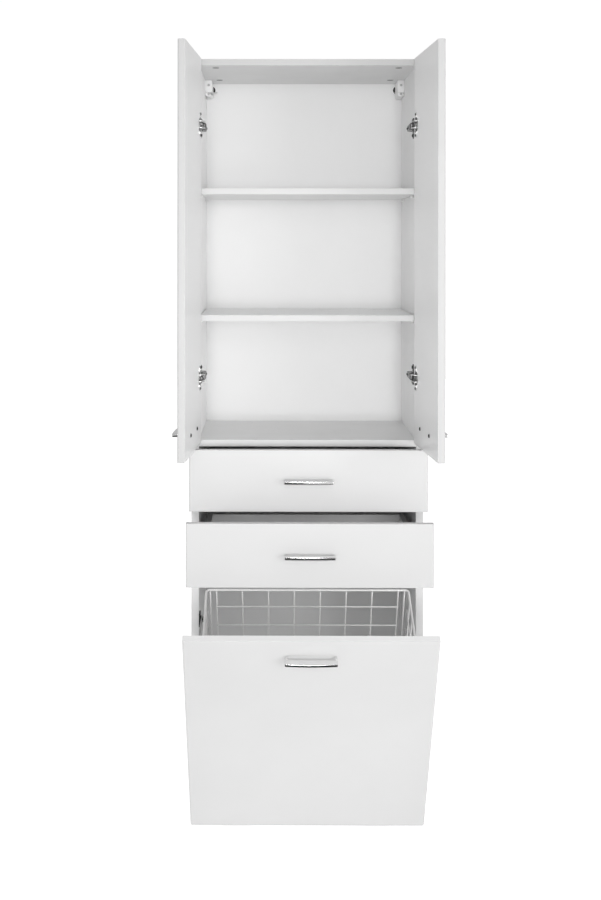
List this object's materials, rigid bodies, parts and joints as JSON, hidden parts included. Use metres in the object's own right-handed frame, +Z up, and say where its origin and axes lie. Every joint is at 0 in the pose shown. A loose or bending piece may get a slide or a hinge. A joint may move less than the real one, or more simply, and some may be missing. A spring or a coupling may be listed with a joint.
{
  "type": "bathroom storage cabinet",
  "caption": "Tall narrow bathroom cabinet with hinged doors over shelves, drawers on roller runners and a tilting laundry flap with a wire basket.",
  "frame": {"origin": "on the floor under the middle of the outline, with the doors, drawers and flap open as stored", "axes": "+X to the right across the cabinet, +Y towards the wall, +Z up"},
  "size_m": [0.5572, 0.59, 1.65],
  "materials": {
    "white_board": "matt white melamine on particle board",
    "white_hardboard": "white painted hardboard",
    "white_front": "satin white faced board",
    "drawer_board": "pale grey melamine",
    "chrome": "polished",
    "zinc": "zinc plated",
    "hinge_steel": "nickel plated",
    "white_plastic": "moulded",
    "black_plastic": "moulded",
    "white_steel": "white powder coat",
    "coated_wire": "white plastic coating"
  },
  "bodies": {
    "cabinet": {"side_panel_left": "white_board", "side_panel_right": "white_board", "top_panel": "white_board", "compartment_floor": "white_board", "divider_board": "white_board", "bottom_board": "white_board", "back_panel": "white_hardboard", "shelf_upper": "white_board", "shelf_lower": "white_board", "shelf_pins": "white_plastic", "cam_fittings": "zinc", "wall_hanger_left": "white_plastic", "wall_hanger_right": "white_plastic", "floor_glides": "black_plastic", "hinge_arms": "hinge_steel", "runner_rails_upper": "white_steel", "runner_rails_lower": "white_steel", "stay_brackets": "black_plastic", "flap_hinge_fixed_leaves": "zinc"},
    "door_left": {"door_left": "white_front", "door_handle_left": "chrome", "door_screws_left": "zinc", "hinge_cups_left": "hinge_steel"},
    "door_right": {"door_right": "white_front", "door_handle_right": "chrome", "door_screws_right": "zinc", "hinge_cups_right": "hinge_steel"},
    "drawer_upper": {"drawer_front_upper": "white_front", "drawer_side_left_upper": "drawer_board", "drawer_side_right_upper": "drawer_board", "drawer_back_upper": "drawer_board", "drawer_bottom_upper": "white_hardboard", "drawer_handle_upper": "chrome", "drawer_screws_upper": "zinc", "slide_profiles_upper": "white_steel"},
    "rail_rollers_upper": {"rail_rollers_upper": "white_plastic"},
    "slide_rollers_upper": {"slide_rollers_upper": "white_plastic"},
    "drawer_lower": {"drawer_front_lower": "white_front", "drawer_side_left_lower": "drawer_board", "drawer_side_right_lower": "drawer_board", "drawer_back_lower": "drawer_board", "drawer_bottom_lower": "white_hardboard", "drawer_handle_lower": "chrome", "drawer_screws_lower": "zinc", "slide_profiles_lower": "white_steel"},
    "rail_rollers_lower": {"rail_rollers_lower": "white_plastic"},
    "slide_rollers_lower": {"slide_rollers_lower": "white_plastic"},
    "hinge_links_left": {"hinge_links_left": "hinge_steel"},
    "hinge_links_right": {"hinge_links_right": "hinge_steel"},
    "flap": {"flap_panel": "white_front", "flap_handle": "chrome", "flap_screws": "zinc", "flap_hinge_moving_leaves": "zinc", "stay_arcs": "zinc", "basket_rim": "coated_wire", "basket_rear": "coated_wire", "basket_sides": "coated_wire", "basket_front": "coated_wire", "basket_base": "coated_wire", "basket_clips": "white_plastic"}
  },
  "joints": [
    {"name": "door_left_hinge", "type": "hinge", "parent": "cabinet", "child": "door_left", "pos_m": [-0.2426, -0.03114, 1.262], "axis": [0, 0, 1], "range_deg": [0, 94]},
    {"name": "door_right_hinge", "type": "hinge", "parent": "cabinet", "child": "door_right", "pos_m": [0.2426, -0.03114, 1.262], "axis": [0, 0, 1], "range_deg": [-94, 0]},
    {"name": "drawer_upper_slide", "type": "slide", "parent": "cabinet", "child": "drawer_upper", "axis": [0, -1, 0], "range_m": [-0.065, 0.135]},
    {"name": "drawer_lower_slide", "type": "slide", "parent": "cabinet", "child": "drawer_lower", "axis": [0, -1, 0], "range_m": [-0.16, 0.04]},
    {"name": "rail_rollers_upper_spin", "type": "hinge", "parent": "cabinet", "child": "rail_rollers_upper", "pos_m": [0, -0.00204, 0.7088], "axis": [1, 0, 0], "range_deg": [-500, 1000]},
    {"name": "slide_rollers_upper_spin", "type": "hinge", "parent": "drawer_upper", "child": "slide_rollers_upper", "pos_m": [0, 0.18096, 0.70855], "axis": [1, 0, 0], "range_deg": [-500, 1000]},
    {"name": "rail_rollers_lower_spin", "type": "hinge", "parent": "cabinet", "child": "rail_rollers_lower", "pos_m": [0, -0.00204, 0.5763], "axis": [1, 0, 0], "range_deg": [-1200, 300]},
    {"name": "slide_rollers_lower_spin", "type": "hinge", "parent": "drawer_lower", "child": "slide_rollers_lower", "pos_m": [0, 0.08596, 0.57605], "axis": [1, 0, 0], "range_deg": [-1200, 300]},
    {"name": "flap_hinge", "type": "hinge", "parent": "cabinet", "child": "flap", "pos_m": [0, -0.01904, 0.0085], "axis": [1, 0, 0], "range_deg": [-28.4, 0]},
    {"name": "hinge_links_left_turn", "type": "hinge", "parent": "cabinet", "child": "hinge_links_left", "pos_m": [-0.223, -0.02204, 1.262], "axis": [0, 0, 1], "range_deg": [0, 157]},
    {"name": "hinge_links_right_turn", "type": "hinge", "parent": "cabinet", "child": "hinge_links_right", "pos_m": [0.223, -0.02204, 1.262], "axis": [0, 0, 1], "range_deg": [-157, 0]}
  ],
  "couplings": [
    {"joint": "hinge_links_left_turn", "follows": "door_left_hinge", "ratio": 1.67},
    {"joint": "hinge_links_right_turn", "follows": "door_right_hinge", "ratio": 1.67},
    {"joint": "rail_rollers_upper_spin", "follows": "drawer_upper_slide", "rad_per_m": 125},
    {"joint": "slide_rollers_upper_spin", "follows": "drawer_upper_slide", "rad_per_m": 125},
    {"joint": "rail_rollers_lower_spin", "follows": "drawer_lower_slide", "rad_per_m": 125},
    {"joint": "slide_rollers_lower_spin", "follows": "drawer_lower_slide", "rad_per_m": 125}
  ]
}
